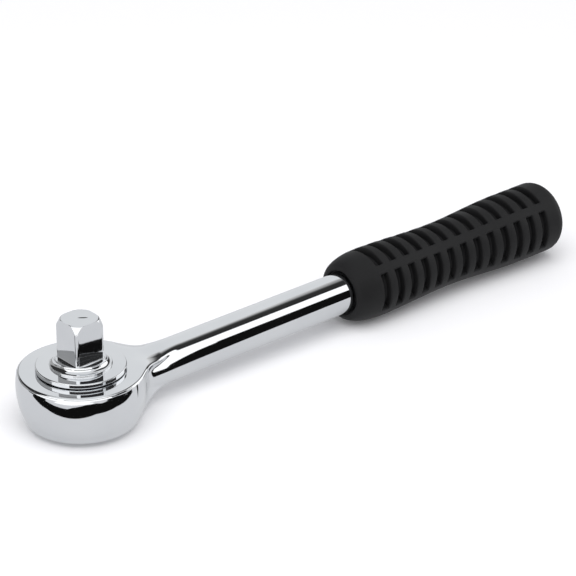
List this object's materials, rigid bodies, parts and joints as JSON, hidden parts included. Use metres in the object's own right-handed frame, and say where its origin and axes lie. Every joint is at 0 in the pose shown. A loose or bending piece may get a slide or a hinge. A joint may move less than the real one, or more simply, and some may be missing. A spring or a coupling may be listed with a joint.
{
  "type": "socket ratchet",
  "caption": "Round-head socket ratchet with a flanged square drive, rocking pawls in an inner tooth ring, a reversing dial, a round shank and a slotted rubber grip.",
  "frame": {"origin": "centre of the reversing dial's outer face, on the drive axis", "axes": "+Z along the drive axis towards the square's tip, +X along the handle towards the grip"},
  "size_m": [0.2605, 0.0478, 0.0453],
  "materials": {
    "chrome": "bright polished chrome plate",
    "dial_steel": "satin chrome",
    "tool_steel": "ground and lightly oiled",
    "spring_steel": "dark tempered spring steel",
    "grip_rubber": "matt moulded rubber"
  },
  "bodies": {
    "housing": {"ratchet_body": "chrome", "grip_sleeve": "grip_rubber", "thrust_washer": "tool_steel"},
    "anvil": {"drive_anvil": "chrome", "drive_detent_spring": "spring_steel", "pawl_pin_left": "tool_steel", "pawl_pin_right": "tool_steel", "retaining_ring": "spring_steel", "wave_washer": "spring_steel"},
    "detent_ball": {"drive_detent_ball": "tool_steel"},
    "reverser": {"reversing_dial": "dial_steel", "reversing_spindle": "tool_steel", "plunger_spring": "spring_steel"},
    "plunger_left": {"plunger_left": "tool_steel"},
    "plunger_right": {"plunger_right": "tool_steel"},
    "pawl_left": {"pawl_left": "tool_steel"},
    "pawl_right": {"pawl_right": "tool_steel"}
  },
  "joints": [
    {"name": "drive_spin", "type": "hinge", "parent": "housing", "child": "anvil", "pos_m": [0, 0, 0], "axis": [0, 0, 1], "continuous": true},
    {"name": "dial_turn", "type": "hinge", "parent": "anvil", "child": "reverser", "pos_m": [0, 0, 0], "axis": [0, 0, 1], "range_deg": [0, 30]},
    {"name": "pawl_left_rock", "type": "hinge", "parent": "anvil", "child": "pawl_left", "pos_m": [0, 0.0104, 0.0145], "axis": [0, 0, 1], "range_deg": [-18, 0]},
    {"name": "pawl_right_rock", "type": "hinge", "parent": "anvil", "child": "pawl_right", "pos_m": [0, -0.0104, 0.0145], "axis": [0, 0, 1], "range_deg": [-18, 0]},
    {"name": "plunger_left_slide", "type": "slide", "parent": "reverser", "child": "plunger_left", "axis": [0.2588, 0.9659, 0], "range_m": [0, 0.0004], "stiffness_N_per_m": 300},
    {"name": "plunger_right_slide", "type": "slide", "parent": "reverser", "child": "plunger_right", "axis": [-0.2588, -0.9659, 0], "range_m": [0, 0.0004], "stiffness_N_per_m": 300},
    {"name": "ball_press", "type": "slide", "parent": "anvil", "child": "detent_ball", "axis": [1, 0, 0], "range_m": [-0.0008, 0], "stiffness_N_per_m": 500, "deforming": ["drive_detent_spring"]}
  ],
  "couplings": [
    {"joint": "pawl_left_rock", "follows": "dial_turn", "ratio": -0.6},
    {"joint": "pawl_right_rock", "follows": "dial_turn", "ratio": -0.6}
  ]
}
